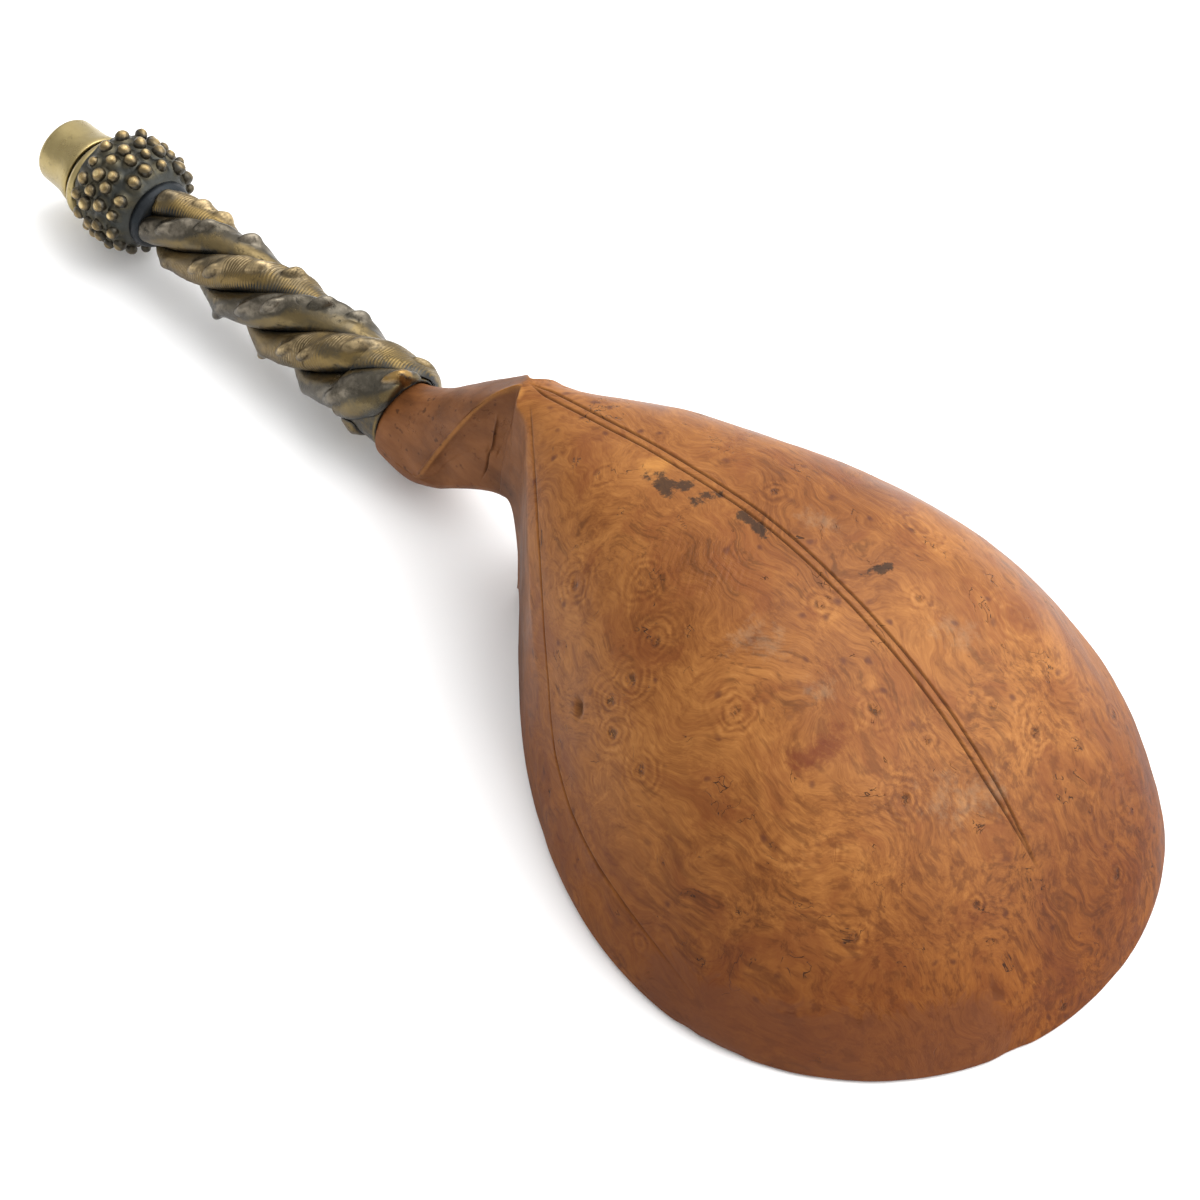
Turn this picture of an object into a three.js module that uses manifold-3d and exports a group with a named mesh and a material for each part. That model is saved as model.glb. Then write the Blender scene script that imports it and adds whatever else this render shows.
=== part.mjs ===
// A deep burr-wood spoon with a mounted handle of twisted gilt and silver branches, a granulated
// knop and a plain seal end. It lies bowl down, on the edge of its bowl and on the knop.
// Millimetres. +Z is up, +X points from the handle to the tip of the bowl, Y = 0 is the plane of symmetry.
// The wood is laid out from the peak where the ridge of the neck meets the bowl, at x = 0.
import * as THREE from 'three';
import { ParametricGeometry } from 'three/addons/geometries/ParametricGeometry.js';
import { mergeVertices } from 'three/addons/utils/BufferGeometryUtils.js';
import Module from 'manifold-3d';

// Driving dimensions of the bowl and neck.
const BOWL_LENGTH = 84;
const BOWL_HALF_WIDTH = 32.6;
const BOWL_WIDEST_X = 54;
const BOWL_HEIGHT = 32.7;
const BOWL_CREST_X = 33;
const PEAK_HEIGHT = 26.8;
const PEAK_HALF_WIDTH = 0.3;
const END_WALL_X = 4.6;
const SHOULDER_LENGTH = 30;
const SHOULDER_START = 0.25;
const CORNER = { x: -11.7, y: 5.1, z: 5.7 };
const HOLLOW_SCALE = 0.93;
const HOLLOW_CENTRE_X = 44;

// Driving dimensions of the handle, measured along its axis from the mouth of the sleeve.
const MOUTH = new THREE.Vector3(-19.3, 0, 7.2);
const HANDLE_SLOPE = 0.02;
const GAP = 0.3;
const STEM_HALF_WIDTH = 4.8;
const STEM_BOTTOM = 4.6;
const TENON_RADIUS = 4.1;
const TENON_LENGTH = 6;
const TANG_RADIUS = 2.6;
const TANG_TIP_RADIUS = 1.9;
const TANG_LENGTH = 22;
const FERRULE_RADIUS = 4.8;
const FERRULE_LENGTH = 6.2;
const SLEEVE_LENGTH = 43.2;
const SLEEVE_MOUTH_RADIUS = 6.1;
const SLEEVE_KNOP_RADIUS = 4.3;
const CORE_MOUTH_RADIUS = 3.5;
const CORE_KNOP_RADIUS = 2.4;
const CORE_WALL = 0.5;
const BRANCH_COUNT = 4;
const BRANCH_LEAD = 35.6;
const BRANCH_PHASE = THREE.MathUtils.degToRad(283);
const BRANCH_HALF_ANGLE = THREE.MathUtils.degToRad(41.5);
const BRANCH_STARTS = [0.1, 0.1, 3.6, 2.4];
const BRANCH_STEPS = 44;
const BRANCH_CLEARANCE = 0.15;
const NODULE_SPACING = 4.9;
const NODULE_STARTS = [3.2, 0.9, 1.4, 1.2];
const NODULE_HEIGHT = 0.7;
const NODULE_SPREAD = 0.95;
const CEMENT_END = 35.5;
const ROD_START = 36;
const ROD_END = 53.6;
const ROD_RADIUS = 1.1;
const KNOP_START = 44.9;
const KNOP_MIDDLE = 49.5;
const KNOP_END = 53.9;
const KNOP_RADIUS = 5.75;
const KNOP_BORE = 1.4;
const GRANULE_RADIUS = 0.8;
const GRANULE_ROWS = [
  { along: 46.4, count: 15 },
  { along: 48.4, count: 18 },
  { along: 50.4, count: 18 },
  { along: 52.4, count: 16 },
];
const DRUM_START = 56.2;
const DRUM_END = 62.3;
const DRUM_RADIUS = 4.35;
const DRUM_FLARE = 4.85;
const DRUM_WALL = 0.7;
const DRUM_EDGE = 0.8;
const SEAL_DROP = 0.8;
const SEAL_SIDESTEP = -0.7;

const FULL_TURN = 2 * Math.PI;
const handleTilt = Math.atan(HANDLE_SLOPE);
const sealReach = DRUM_RADIUS - DRUM_EDGE + SEAL_DROP;
const handleEndX = MOUTH.x - DRUM_END * Math.cos(handleTilt) - sealReach * Math.sin(handleTilt);

const wasm = await Module();
wasm.setup();

// Geometry helpers.

// Keeps only the positions, joins equal vertices and drops the triangles that collapse at a pole.
function closeMesh(geometry) {
  const bare = geometry.clone();
  bare.deleteAttribute('normal');
  bare.deleteAttribute('uv');
  const merged = mergeVertices(bare, 1e-4);
  const index = merged.getIndex().array;
  const kept = [];
  for (let i = 0; i < index.length; i += 3) {
    const [a, b, c] = [index[i], index[i + 1], index[i + 2]];
    if (a !== b && b !== c && c !== a) kept.push(a, b, c);
  }
  merged.setIndex(kept);
  if (signedVolume(merged) < 0) {
    for (let i = 0; i < kept.length; i += 3) [kept[i], kept[i + 1]] = [kept[i + 1], kept[i]];
    merged.setIndex(kept);
  }
  return merged;
}

function signedVolume(geometry) {
  const position = geometry.getAttribute('position');
  const index = geometry.getIndex().array;
  const corners = [new THREE.Vector3(), new THREE.Vector3(), new THREE.Vector3()];
  let sum = 0;
  for (let i = 0; i < index.length; i += 3) {
    corners.forEach((corner, k) => corner.fromBufferAttribute(position, index[i + k]));
    sum += corners[0].dot(corners[1].cross(corners[2])) / 6;
  }
  return sum;
}

function toManifold(geometry) {
  return new wasm.Manifold(new wasm.Mesh({
    numProp: 3,
    vertProperties: new Float32Array(geometry.getAttribute('position').array),
    triVerts: new Uint32Array(geometry.getIndex().array),
  }));
}

function fromManifold(solid) {
  const mesh = solid.getMesh();
  const geometry = new THREE.BufferGeometry();
  geometry.setAttribute('position', new THREE.BufferAttribute(new Float32Array(mesh.vertProperties), 3));
  geometry.setIndex(Array.from(mesh.triVerts));
  return geometry;
}

// A closed solid through rings of points. Both ends close on the centre of their ring.
function loft(rings) {
  const centre = (ring) => {
    const sum = ring.reduce((total, point) => total.add(point), new THREE.Vector3());
    return ring.map(() => sum.clone().divideScalar(ring.length));
  };
  if (rings.length < 2) throw new Error('a loft needs two rings');
  const all = [centre(rings[0].map((p) => p.clone())), ...rings, centre(rings.at(-1).map((p) => p.clone()))];
  const around = rings[0].length;
  const place = (u, v, target) => {
    const row = Math.min(Math.max(Math.round(v * (all.length - 1)), 0), all.length - 1);
    const column = Math.min(Math.max(Math.round(u * around), 0), around) % around;
    target.copy(all[row][column]);
  };
  return closeMesh(new ParametricGeometry(place, around, all.length - 1));
}

// A turned ring or bar: points are [radius, distance along the handle].
function turned(points, segments = 24) {
  const profile = points.map(([radius, along]) => new THREE.Vector2(radius, along));
  const lathe = new THREE.LatheGeometry(profile, segments);
  return closeMesh(lathe.rotateX(Math.PI / 2));
}

function smoothstep(low, high, value) {
  return THREE.MathUtils.smoothstep(value, low, high);
}

// A height or half width as a function of x, from joined cubic curves in the plane.
function outline(...curves) {
  const points = curves.flatMap((corners) => {
    const [a, b, c, d] = corners.map(([x, y]) => new THREE.Vector2(x, y));
    return new THREE.CubicBezierCurve(a, b, c, d).getPoints(60);
  });
  return (x) => {
    if (x <= points[0].x) return points[0].y;
    const next = points.findIndex((point) => point.x > x);
    if (next < 0) return points.at(-1).y;
    const [low, high] = [points[next - 1], points[next]];
    return THREE.MathUtils.lerp(low.y, high.y, (x - low.x) / (high.x - low.x));
  };
}

// The wood: neck and bowl.

const sideLine = outline(
  [[-19, STEM_HALF_WIDTH], [-15, 5.3], [-12, CORNER.y], [-6, 4.4]],
  [[-6, 4.4], [-2, 3.6], [1.5, 2.4], [4.5, 4.7]],
  [[4.5, 4.7], [8.5, 7.3], [28.5, BOWL_HALF_WIDTH], [BOWL_WIDEST_X, BOWL_HALF_WIDTH]],
);

const keelHeight = outline(
  [[-19, 11.4], [-14.5, 13.4], [-8, 20.4], [0, PEAK_HEIGHT]],
  [[0, PEAK_HEIGHT], [9, 28.2], [21, BOWL_HEIGHT], [BOWL_CREST_X, BOWL_HEIGHT]],
  [[BOWL_CREST_X, BOWL_HEIGHT], [58, BOWL_HEIGHT], [75, 16], [BOWL_LENGTH, 0]],
);

const lowerEdge = outline(
  [[-19, 5.9], [-16, 5.8], [-12, 5.2], [-9, 6.8]],
  [[-9, 6.8], [-5.5, 9.6], [-1, 12.3], [1.2, 12]],
  [[1.2, 12], [3.4, 11.4], [3.6, 4], [END_WALL_X, 0]],
);

// Half width of the edge of the bowl: a flare from the neck, then a quarter ellipse to the tip.
function halfWidth(x) {
  if (x <= BOWL_WIDEST_X) return sideLine(x);
  const part = (x - BOWL_WIDEST_X) / (BOWL_LENGTH - BOWL_WIDEST_X);
  return BOWL_HALF_WIDTH * Math.sqrt(Math.max(1 - part * part, 0));
}

// Height of the bowl's back. Near the neck only the crown of the curve is left above upright walls.
function backHeight(x, y) {
  const shoulder = 1 - Math.min(x / SHOULDER_LENGTH, 1);
  const crown = SHOULDER_START + (1 - SHOULDER_START) * (1 - shoulder * shoulder);
  const across = halfWidth(x) > 0 ? (y / halfWidth(x)) * crown : 0;
  const sideways = 2.2 + 0.6 * smoothstep(0, 15, x);
  const upward = 1.8 - 0.5 * (x / BOWL_LENGTH);
  return keelHeight(x) * Math.max(1 - across ** sideways, 0) ** (1 / upward);
}

function spread(count, makePoint) {
  return Array.from({ length: count + 1 }, (_, i) => makePoint(i / count));
}

// Half of a section, as [y, z] points from the top centre to the bottom centre, in three runs.
function halfSection(x, crownSteps, sideSteps, underSteps) {
  const edgeY = halfWidth(x);
  const edgeZ = x < END_WALL_X ? lowerEdge(x) : 0;
  let crown;
  let side;
  let sag;
  if (x <= 0) {
    const rise = Math.min(x / CORNER.x, 1);
    const blend = smoothstep(-CORNER.x, 15, -x);
    const ridgeY = THREE.MathUtils.lerp(PEAK_HALF_WIDTH + (5.2 - PEAK_HALF_WIDTH) * rise ** 0.45, edgeY, blend);
    const ridgeZ = THREE.MathUtils.lerp(PEAK_HEIGHT - (PEAK_HEIGHT - CORNER.z) * rise ** 1.35, 5.95, blend);
    const top = keelHeight(x) - ridgeZ;
    const quarter = (t) => [ridgeY * Math.sin(t * Math.PI / 2), ridgeZ + top * Math.cos(t * Math.PI / 2)];
    crown = spread(crownSteps, quarter);
    const scoop = 0.35 * smoothstep(-11.7, -9, x);
    side = spread(sideSteps, (t) => [
      THREE.MathUtils.lerp(ridgeY, edgeY, t) - scoop * Math.sin(Math.PI * t),
      THREE.MathUtils.lerp(ridgeZ, edgeZ, t),
    ]);
    sag = 2.2 + (STEM_BOTTOM - 2.2) * smoothstep(9, 15, -x);
  } else {
    const inset = x > 8 ? edgeY * 0.06 : 0.45;
    const creaseY = Math.max(Math.min(edgeY - inset, PEAK_HALF_WIDTH + 1.75 * x), PEAK_HALF_WIDTH);
    const crownEnd = Math.min(creaseY, edgeY);
    crown = spread(crownSteps, (t) => [crownEnd * t, backHeight(x, crownEnd * t)]);
    const creaseZ = backHeight(x, crownEnd);
    side = spread(sideSteps, (t) => [
      crownEnd + (edgeY - crownEnd) * Math.sin(t * Math.PI / 2),
      THREE.MathUtils.lerp(creaseZ, edgeZ, t),
    ]);
    sag = 2.2 * Math.max(1 - x / END_WALL_X, 0);
  }
  const under = spread(underSteps, (t) => [
    edgeY * Math.cos(t * Math.PI / 2),
    Math.max(edgeZ - sag * Math.sin(t * Math.PI / 2), 0),
  ]);
  return [...crown, ...side.slice(1), ...under.slice(1)];
}

// The same half section on both sides of the plane of symmetry, as one ring.
function woodRing(x) {
  const half = halfSection(x, 6, 3, 2);
  const right = half.map(([y, z]) => new THREE.Vector3(x, y, z));
  const left = half.slice(1, -1).reverse().map(([y, z]) => new THREE.Vector3(x, -y, z));
  return [...right, ...left];
}

function bowlAndNeck() {
  const neckStations = [-19, -17, -15, -13.2, -11.7, -9.5, -7, -4.5, -2.2, -0.8, 0];
  const flareStations = [0.7, 1.6, 2.6, 3.4, 4, END_WALL_X];
  const bellyStations = spread(19, (t) => BOWL_LENGTH - (BOWL_LENGTH - 6.5) * (1 - t) ** 1.6).slice(0, -1);
  return loft([...neckStations, ...flareStations, ...bellyStations, BOWL_LENGTH - 0.05].map(woodRing));
}

// The hollow is a smaller copy of the bowl, run on below the edge so that it cuts clean through.
function bowlHollow() {
  const stations = spread(16, (t) => BOWL_LENGTH - (BOWL_LENGTH - END_WALL_X) * (1 - t) ** 1.6);
  stations[stations.length - 1] = BOWL_LENGTH - 0.3;
  const rings = stations.map((x) => woodRing(x).map((point) => new THREE.Vector3(
    HOLLOW_CENTRE_X + (point.x - HOLLOW_CENTRE_X) * HOLLOW_SCALE,
    point.y * HOLLOW_SCALE,
    point.z > 0 ? point.z * 0.91 : -1,
  )));
  return loft(rings);
}

// The tenon and tang that the sleeve is fitted over, drawn along the handle's axis.
function tenonAndTang() {
  const shoulder = TENON_LENGTH;
  return turned([
    [0, -2],
    [TENON_RADIUS, -2],
    [TENON_RADIUS, shoulder],
    [TANG_RADIUS, shoulder],
    [TANG_TIP_RADIUS, TANG_LENGTH],
    [0, TANG_LENGTH],
  ]);
}

// The handle, drawn with its axis along +Z from the mouth of the sleeve to the seal.

function sleeveRadius(along) {
  const left = Math.max(1 - along / SLEEVE_LENGTH, 0);
  return SLEEVE_KNOP_RADIUS + (SLEEVE_MOUTH_RADIUS - SLEEVE_KNOP_RADIUS) * left ** 1.3;
}

function coreRadius(along) {
  return THREE.MathUtils.lerp(CORE_MOUTH_RADIUS, CORE_KNOP_RADIUS, along / SLEEVE_LENGTH);
}

function ferrule() {
  return turned([
    [FERRULE_RADIUS - 0.4, 0],
    [FERRULE_RADIUS, 0],
    [FERRULE_RADIUS, FERRULE_LENGTH],
    [FERRULE_RADIUS - 0.4, FERRULE_LENGTH],
    [FERRULE_RADIUS - 0.4, 0],
  ]);
}

function coreTube() {
  const start = FERRULE_LENGTH + GAP;
  return turned([
    [coreRadius(start) - CORE_WALL, start],
    [coreRadius(start), start],
    [coreRadius(SLEEVE_LENGTH), SLEEVE_LENGTH],
    [coreRadius(SLEEVE_LENGTH) - CORE_WALL, SLEEVE_LENGTH],
    [coreRadius(start) - CORE_WALL, start],
  ]);
}

function cementPlug() {
  const start = TANG_LENGTH + GAP;
  const reach = (along) => coreRadius(along) - CORE_WALL - GAP;
  return turned([[0, start], [reach(start), start], [reach(CEMENT_END), CEMENT_END], [0, CEMENT_END]], 16);
}

function centreRod() {
  return turned([[0, ROD_START], [ROD_RADIUS, ROD_START], [ROD_RADIUS, ROD_END], [0, ROD_END]], 16);
}

// Height of a twig stub above the crest of a branch, from the distance to the nearest stub.
function noduleHeight(along, number) {
  const steps = (along - NODULE_STARTS[number]) / NODULE_SPACING;
  const away = (steps - Math.round(steps)) * NODULE_SPACING;
  return NODULE_HEIGHT * Math.exp(-((away / NODULE_SPREAD) ** 2));
}

// The largest radius that keeps clear of the surface the spoon lies on.
function restLimit(along, angle) {
  const downward = -Math.cos(angle);
  const clear = MOUTH.z + HANDLE_SLOPE * along - BRANCH_CLEARANCE;
  return downward > 0.5 ? clear / downward : Infinity;
}

// One twisted branch: a rounded bar wound on the core, with the stubs of lopped twigs along its crest.
function branch(number) {
  const phase = BRANCH_PHASE + (number * FULL_TURN) / BRANCH_COUNT;
  const turn = (along) => phase + (along / BRANCH_LEAD) * FULL_TURN;
  const start = BRANCH_STARTS[number];
  const length = SLEEVE_LENGTH - start;
  const rings = spread(BRANCH_STEPS, (t) => {
    const along = start + length * t;
    const shrink = t === 0 || t === 1 ? 0.55 : 1;
    const overFerrule = along < FERRULE_LENGTH + length / BRANCH_STEPS + GAP;
    const base = (overFerrule ? FERRULE_RADIUS : coreRadius(along)) + GAP + 0.1;
    const height = Math.max(sleeveRadius(along) - base, 0.6) * shrink;
    const bump = noduleHeight(along, number) * shrink;
    const halfAngle = BRANCH_HALF_ANGLE * shrink;
    const crest = spread(8, (s) => {
      const across = 2 * s - 1;
      const angle = turn(along) + across * halfAngle;
      const rise = (height + bump * (1 - Math.abs(across)) ** 1.5) * Math.sqrt(1 - across ** 2);
      return [angle, Math.max(Math.min(base + rise, restLimit(along, angle)), base)];
    });
    const foot = spread(4, (s) => [turn(along) + (1 - 2 * s) * halfAngle, base]).slice(1, -1);
    return [...crest, ...foot].map(([angle, radius]) => new THREE.Vector3(
      radius * Math.cos(angle),
      -radius * Math.sin(angle),
      along,
    ));
  });
  return loft(rings);
}

function knopCollar() {
  return turned([
    [KNOP_BORE, SLEEVE_LENGTH + GAP],
    [3.3, SLEEVE_LENGTH + GAP],
    [3.6, KNOP_START - GAP],
    [KNOP_BORE, KNOP_START - GAP],
    [KNOP_BORE, SLEEVE_LENGTH + GAP],
  ]);
}

function knopSurface(along) {
  const half = along < KNOP_MIDDLE ? KNOP_MIDDLE - 43.4 : 60.4 - KNOP_MIDDLE;
  const part = Math.min(Math.abs(along - KNOP_MIDDLE) / half, 1);
  return KNOP_RADIUS * Math.sqrt(1 - part ** 2.2);
}

function knopShell() {
  const skin = spread(8, (t) => THREE.MathUtils.lerp(KNOP_START, KNOP_END, t))
    .map((along) => [knopSurface(along), along]);
  return turned([[KNOP_BORE, KNOP_START], ...skin, [KNOP_BORE, KNOP_END], [KNOP_BORE, KNOP_START]]);
}

// One ring of grains joined by the solder between them.
function granuleRow({ along, count }) {
  const stepsPerGrain = 4;
  const seat = knopSurface(along) + GAP + GRANULE_RADIUS;
  const rings = spread(count * stepsPerGrain, (t) => {
    const angle = t * FULL_TURN;
    const grain = 0.3 + (GRANULE_RADIUS - 0.3) * Math.abs(Math.cos((angle * count) / 2));
    return spread(5, (s) => {
      const round = s * FULL_TURN;
      const radius = seat + grain * Math.cos(round);
      return new THREE.Vector3(radius * Math.cos(angle), -radius * Math.sin(angle), along + grain * Math.sin(round));
    });
  });
  const place = (u, v, target) => {
    target.copy(rings[Math.round(v * (rings.length - 1)) % (rings.length - 1)][Math.round(u * 5) % 5]);
  };
  return closeMesh(new ParametricGeometry(place, 5, rings.length - 1));
}

function knopRim() {
  const start = KNOP_END + GAP;
  return turned([[0, start], [5.2, start], [5.5, start + 0.5], [5.2, start + 1.1], [0, start + 1.1]]);
}

function solderPlate() {
  return turned([[0, DRUM_START - 0.6], [4.3, DRUM_START - 0.6], [4.3, DRUM_START - GAP], [0, DRUM_START - GAP]]);
}

// The seal end: a cup with its mouth towards the knop.
function sealDrum() {
  const inner = DRUM_RADIUS - DRUM_WALL;
  const floor = DRUM_END - DRUM_WALL;
  const edge = spread(3, (t) => [
    DRUM_RADIUS - DRUM_EDGE + DRUM_EDGE * Math.cos(t * Math.PI / 2),
    DRUM_END - DRUM_EDGE + DRUM_EDGE * Math.sin(t * Math.PI / 2),
  ]);
  return turned([
    [0, floor],
    [inner, floor],
    [DRUM_FLARE - DRUM_WALL, DRUM_START],
    [DRUM_FLARE, DRUM_START],
    [DRUM_RADIUS + 0.12, DRUM_START + 2.2],
    ...edge,
    [0, DRUM_END],
  ]);
}

// Materials and assembly.

const FINISHES = {
  burr_wood: { color: 0xa8642c, roughness: 0.45, metalness: 0 },
  gilt_silver: { color: 0xb08d4a, roughness: 0.38, metalness: 1 },
  worn_silver: { color: 0x8c8478, roughness: 0.42, metalness: 1 },
  dark_silver: { color: 0x3a3f46, roughness: 0.55, metalness: 0.8 },
  cement: { color: 0x3b2a1c, roughness: 0.9, metalness: 0 },
};

function piece(name, geometry, finish) {
  const mesh = new THREE.Mesh(geometry, new THREE.MeshStandardMaterial(FINISHES[finish]));
  mesh.name = name;
  return mesh;
}

const handle = new THREE.Group();
handle.position.copy(MOUTH);
handle.rotation.y = handleTilt - Math.PI / 2;
handle.updateMatrix();

const tang = tenonAndTang().applyMatrix4(handle.matrix);
const wood = toManifold(bowlAndNeck()).subtract(toManifold(bowlHollow())).add(toManifold(tang));

handle.add(piece('neck_ferrule', ferrule(), 'gilt_silver'));
handle.add(piece('core_tube', coreTube(), 'worn_silver'));
handle.add(piece('cement_plug', cementPlug(), 'cement'));
handle.add(piece('centre_rod', centreRod(), 'worn_silver'));
for (let i = 0; i < BRANCH_COUNT; i += 1) {
  handle.add(piece(`branch_${i + 1}`, branch(i), i % 2 === 0 ? 'gilt_silver' : 'worn_silver'));
}
handle.add(piece('knop_collar', knopCollar(), 'dark_silver'));
handle.add(piece('knop_shell', knopShell(), 'dark_silver'));
GRANULE_ROWS.forEach((row, i) => {
  handle.add(piece(`granule_row_${i + 1}`, granuleRow(row), 'gilt_silver'));
});

// The seal end is set a little off the handle's axis.
const sealEnd = new THREE.Group();
sealEnd.position.set(-SEAL_DROP, SEAL_SIDESTEP, 0);
sealEnd.add(piece('knop_rim', knopRim(), 'gilt_silver'));
sealEnd.add(piece('solder_plate', solderPlate(), 'dark_silver'));
sealEnd.add(piece('seal_drum', sealDrum(), 'gilt_silver'));
handle.add(sealEnd);

const spoon = new THREE.Group();
spoon.add(piece('spoon_bowl', fromManifold(wood), 'burr_wood'));
spoon.add(handle);
spoon.position.x = -(BOWL_LENGTH + handleEndX) / 2;

export default spoon;
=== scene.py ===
import math

import bmesh
import bpy
import numpy as np
from mathutils import Matrix, Vector


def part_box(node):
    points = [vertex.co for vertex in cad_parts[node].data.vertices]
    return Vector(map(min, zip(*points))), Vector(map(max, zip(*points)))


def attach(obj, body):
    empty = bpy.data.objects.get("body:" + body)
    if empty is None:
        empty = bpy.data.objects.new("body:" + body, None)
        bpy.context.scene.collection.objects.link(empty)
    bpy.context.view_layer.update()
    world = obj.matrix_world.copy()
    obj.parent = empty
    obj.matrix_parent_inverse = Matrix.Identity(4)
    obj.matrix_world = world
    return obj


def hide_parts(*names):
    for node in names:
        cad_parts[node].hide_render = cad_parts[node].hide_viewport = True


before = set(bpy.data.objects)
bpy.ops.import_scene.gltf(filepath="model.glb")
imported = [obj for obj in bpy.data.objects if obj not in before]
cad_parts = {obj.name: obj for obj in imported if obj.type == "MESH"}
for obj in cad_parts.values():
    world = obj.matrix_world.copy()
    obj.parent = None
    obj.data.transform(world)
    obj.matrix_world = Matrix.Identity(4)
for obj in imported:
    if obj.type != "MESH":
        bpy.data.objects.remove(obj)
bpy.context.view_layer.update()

# Shapes are drawn in millimetres with the peak of the bowl's back at x = 0, and then moved into the frame.
MM = 0.001
LAST_SECTION_X = 83.95
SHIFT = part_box("spoon_bowl")[1][0] - LAST_SECTION_X * MM


def to_frame(points):
    moved = np.array(points, float) * MM
    moved[..., 0] += SHIFT
    return moved


def add_object(name, data):
    made = bpy.data.objects.new(name, data)
    bpy.context.scene.collection.objects.link(made)
    return made


# ---- camera, light and floor

CAMERA_AZIMUTH = 42.613
CAMERA_ELEVATION = 48.904
CAMERA_ROLL = 3.832
CAMERA_DISTANCE = 326.667
CAMERA_TARGET = (14.521, -1.691, 4.67)
CAMERA_LENS = 88.83

LIGHT_DISTANCE = 0.9
# Each light: name, direction towards it, size in metres and power in watts.
LIGHTS = [
    ("key", (0.35, 0.55, 0.95), 1.0, 7.5),
    ("side", (0.95, 0.45, 0.45), 0.5, 1.6),
]
# The room brightens from ROOM_DIM to ROOM_BRIGHT as a direction turns towards ROOM_SIDE.
ROOM_SIDE = (0.20, 0.62, 0.76)
ROOM_TURN = (0.1, 0.9)
ROOM_DIM = 0.78
ROOM_BRIGHT = 1.8
FLOOR_HALF = 3.0
FLOOR_LEVEL = -0.0001
FLOOR_TONE = 0.93
FLOOR_ROUGHNESS = 0.8


def make_camera():
    azimuth, elevation, roll = (math.radians(a) for a in (CAMERA_AZIMUTH, CAMERA_ELEVATION, CAMERA_ROLL))
    back = Vector((
        math.sin(azimuth) * math.cos(elevation),
        -math.cos(azimuth) * math.cos(elevation),
        math.sin(elevation),
    ))
    level = Vector((math.cos(azimuth), math.sin(azimuth), 0))
    upright = back.cross(level)
    right = level * math.cos(roll) + upright * math.sin(roll)
    up = upright * math.cos(roll) - level * math.sin(roll)
    data = bpy.data.cameras.new("camera")
    data.lens = CAMERA_LENS
    data.clip_start = 0.01
    camera = add_object("camera", data)
    place = Matrix((right, up, back)).transposed().to_4x4()
    place.translation = Vector(to_frame(CAMERA_TARGET)) + back * CAMERA_DISTANCE * MM
    camera.matrix_world = place
    bpy.context.scene.camera = camera


def make_light(name, direction, size, power):
    data = bpy.data.lights.new(name, "AREA")
    data.shape = "DISK"
    data.size = size
    data.energy = power
    lamp = add_object(name, data)
    direction = Vector(direction).normalized()
    lamp.location = direction * LIGHT_DISTANCE
    lamp.rotation_mode = "QUATERNION"
    lamp.rotation_quaternion = direction.to_track_quat("Z", "Y")


def make_room():
    """A pale room, brightest above and behind the bowl."""
    g = Graph(bpy.data.worlds.new("studio"))
    direction = g.node("ShaderNodeTexCoord").outputs["Generated"]
    facing = g.vector("DOT_PRODUCT", direction, ROOM_SIDE)
    strength = g.ramp(facing, *ROOM_TURN, ROOM_DIM, ROOM_BRIGHT)
    g.feed(g.tree.nodes["Background"], {"Color": (1, 1, 1, 1), "Strength": strength})
    bpy.context.scene.world = g.owner


def make_floor():
    mesh = bpy.data.meshes.new("floor")
    corners = [(-1, -1), (1, -1), (1, 1), (-1, 1)]
    points = [(x * FLOOR_HALF, y * FLOOR_HALF, FLOOR_LEVEL) for x, y in corners]
    mesh.from_pydata(points, [], [(0, 1, 2, 3)])
    floor = add_object("floor", mesh)
    paint = Graph(bpy.data.materials.new("floor_paint"))
    mesh.materials.append(paint.finish((FLOOR_TONE, FLOOR_TONE, FLOOR_TONE, 1), FLOOR_ROUGHNESS))


def make_stage():
    make_room()
    for light in LIGHTS:
        make_light(*light)
    make_floor()
    bpy.context.scene.view_settings.view_transform = "Standard"


# ---- material graphs


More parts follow.
